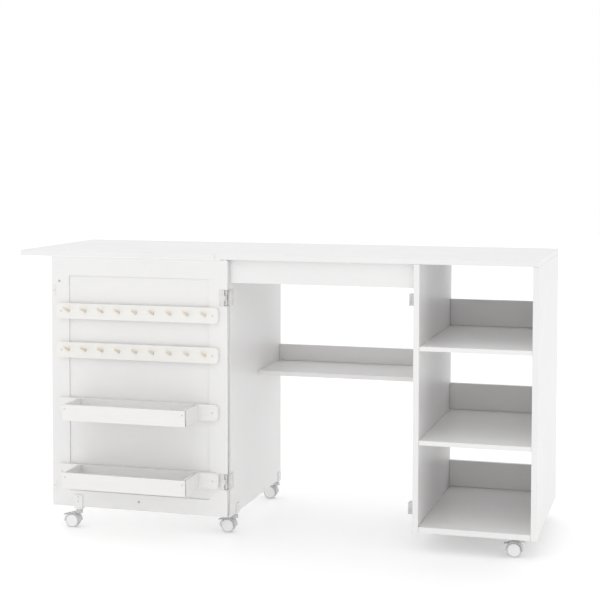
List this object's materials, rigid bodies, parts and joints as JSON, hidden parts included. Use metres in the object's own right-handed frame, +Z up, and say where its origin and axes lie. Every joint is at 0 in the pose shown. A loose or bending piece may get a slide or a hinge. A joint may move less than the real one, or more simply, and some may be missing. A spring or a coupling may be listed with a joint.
{
  "type": "sewing table",
  "caption": "Folding sewing and craft table with a drop leaf, a storage door with spool racks and bins, an open shelf cabinet, and braked casters.",
  "frame": {"origin": "on the floor under the middle of the open table's bounding box", "axes": "+X to the right, towards the open shelf cabinet; +Y to the back; +Z up"},
  "size_m": [1.417, 0.6126, 0.762],
  "materials": {
    "white_board": "white painted MDF, satin",
    "warm_white_board": "warm white painted wood, satin",
    "hinge_steel": "nickel-plated steel",
    "catch_plastic": "light grey plastic",
    "knob_white": "white moulded knob",
    "caster_steel": "white-grey powder-coated steel",
    "caster_grey": "grey nylon",
    "wheel_grey": "light grey nylon"
  },
  "bodies": {
    "cabinet": {"top_panel": "white_board", "left_side_panel": "white_board", "partition_panel": "white_board", "right_side_panel": "white_board", "front_apron": "white_board", "knee_shelf": "white_board", "knee_back_board": "white_board", "cabinet_bottom_panel": "white_board", "lower_shelf": "white_board", "upper_shelf": "white_board", "lower_back_board": "white_board", "middle_back_board": "white_board", "upper_back_board": "white_board", "front_leaf_hinge_top_plate": "hinge_steel", "back_leaf_hinge_top_plate": "hinge_steel", "lower_door_hinge_frame_plate": "hinge_steel", "upper_door_hinge_frame_plate": "hinge_steel", "lower_magnetic_catch": "catch_plastic", "upper_magnetic_catch": "catch_plastic", "left_front_caster_bracket": "caster_steel", "left_back_caster_bracket": "caster_steel", "right_front_caster_bracket": "caster_steel", "right_back_caster_bracket": "caster_steel"},
    "door": {"door_lock_stile": "white_board", "door_hinge_stile": "white_board", "door_top_rail": "white_board", "door_bottom_rail": "white_board", "door_centre_panel": "white_board", "door_knob": "knob_white", "lower_spool_rack": "warm_white_board", "upper_spool_rack": "warm_white_board", "lower_bin_rail": "warm_white_board", "upper_bin_rail": "warm_white_board", "lower_bin_tray": "warm_white_board", "upper_bin_tray": "warm_white_board", "lower_door_hinge_door_plate": "hinge_steel", "upper_door_hinge_door_plate": "hinge_steel", "lower_catch_strike": "hinge_steel", "upper_catch_strike": "hinge_steel", "door_caster_bracket": "caster_steel"},
    "leaf": {"leaf_panel": "white_board", "front_leaf_hinge_leaf_plate": "hinge_steel", "back_leaf_hinge_leaf_plate": "hinge_steel"},
    "left_front_caster": {"left_front_caster_housing": "caster_grey"},
    "left_front_wheels": {"left_front_caster_wheels": "wheel_grey"},
    "left_front_brake": {"left_front_caster_brake_lever": "caster_grey"},
    "left_back_caster": {"left_back_caster_housing": "caster_grey"},
    "left_back_wheels": {"left_back_caster_wheels": "wheel_grey"},
    "left_back_brake": {"left_back_caster_brake_lever": "caster_grey"},
    "right_front_caster": {"right_front_caster_housing": "caster_grey"},
    "right_front_wheels": {"right_front_caster_wheels": "wheel_grey"},
    "right_front_brake": {"right_front_caster_brake_lever": "caster_grey"},
    "right_back_caster": {"right_back_caster_housing": "caster_grey"},
    "right_back_wheels": {"right_back_caster_wheels": "wheel_grey"},
    "right_back_brake": {"right_back_caster_brake_lever": "caster_grey"},
    "door_caster": {"door_caster_housing": "caster_grey"},
    "door_wheels": {"door_caster_wheels": "wheel_grey"},
    "door_brake": {"door_caster_brake_lever": "caster_grey"}
  },
  "joints": [
    {"name": "door_swing", "type": "hinge", "parent": "cabinet", "child": "door", "pos_m": [-0.1139, -0.1827, 0.4055], "axis": [0, 0, 1], "range_deg": [0, 180]},
    {"name": "leaf_drop", "type": "hinge", "parent": "cabinet", "child": "leaf", "pos_m": [-0.1435, 0.0588, 0.7435], "axis": [0, -1, 0], "range_deg": [0, 90]},
    {"name": "left_front_caster_swivel", "type": "hinge", "parent": "cabinet", "child": "left_front_caster", "pos_m": [-0.112, -0.1127, 0.045], "axis": [0, 0, 1], "continuous": true},
    {"name": "left_front_wheel_roll", "type": "hinge", "parent": "left_front_caster", "child": "left_front_wheels", "pos_m": [-0.13, -0.1127, 0.0185], "axis": [0, 1, 0], "continuous": true},
    {"name": "left_front_brake_press", "type": "hinge", "parent": "left_front_caster", "child": "left_front_brake", "pos_m": [-0.14385, -0.1127, 0.03623], "axis": [0, -1, 0], "range_deg": [0, 15]},
    {"name": "left_back_caster_swivel", "type": "hinge", "parent": "cabinet", "child": "left_back_caster", "pos_m": [-0.112, 0.2873, 0.045], "axis": [0, 0, 1], "continuous": true},
    {"name": "left_back_wheel_roll", "type": "hinge", "parent": "left_back_caster", "child": "left_back_wheels", "pos_m": [-0.13, 0.2873, 0.0185], "axis": [0, 1, 0], "continuous": true},
    {"name": "left_back_brake_press", "type": "hinge", "parent": "left_back_caster", "child": "left_back_brake", "pos_m": [-0.14385, 0.2873, 0.03623], "axis": [0, -1, 0], "range_deg": [0, 15]},
    {"name": "right_front_caster_swivel", "type": "hinge", "parent": "cabinet", "child": "right_front_caster", "pos_m": [0.6655, -0.1387, 0.045], "axis": [0, 0, 1], "continuous": true},
    {"name": "right_front_wheel_roll", "type": "hinge", "parent": "right_front_caster", "child": "right_front_wheels", "pos_m": [0.6475, -0.1387, 0.0185], "axis": [0, 1, 0], "continuous": true},
    {"name": "right_front_brake_press", "type": "hinge", "parent": "right_front_caster", "child": "right_front_brake", "pos_m": [0.63365, -0.1387, 0.03623], "axis": [0, -1, 0], "range_deg": [0, 15]},
    {"name": "right_back_caster_swivel", "type": "hinge", "parent": "cabinet", "child": "right_back_caster", "pos_m": [0.6655, 0.2873, 0.045], "axis": [0, 0, 1], "continuous": true},
    {"name": "right_back_wheel_roll", "type": "hinge", "parent": "right_back_caster", "child": "right_back_wheels", "pos_m": [0.6475, 0.2873, 0.0185], "axis": [0, 1, 0], "continuous": true},
    {"name": "right_back_brake_press", "type": "hinge", "parent": "right_back_caster", "child": "right_back_brake", "pos_m": [0.63365, 0.2873, 0.03623], "axis": [0, -1, 0], "range_deg": [0, 15]},
    {"name": "door_caster_swivel", "type": "hinge", "parent": "door", "child": "door_caster", "pos_m": [-0.5389, -0.1827, 0.045], "axis": [0, 0, 1], "continuous": true},
    {"name": "door_wheel_roll", "type": "hinge", "parent": "door_caster", "child": "door_wheels", "pos_m": [-0.5569, -0.1827, 0.0185], "axis": [0, 1, 0], "continuous": true},
    {"name": "door_brake_press", "type": "hinge", "parent": "door_caster", "child": "door_brake", "pos_m": [-0.57075, -0.1827, 0.03623], "axis": [0, -1, 0], "range_deg": [0, 15]}
  ],
  "couplings": [
    {"joint": "leaf_drop", "follows": "door_swing", "ratio": 0.5}
  ]
}
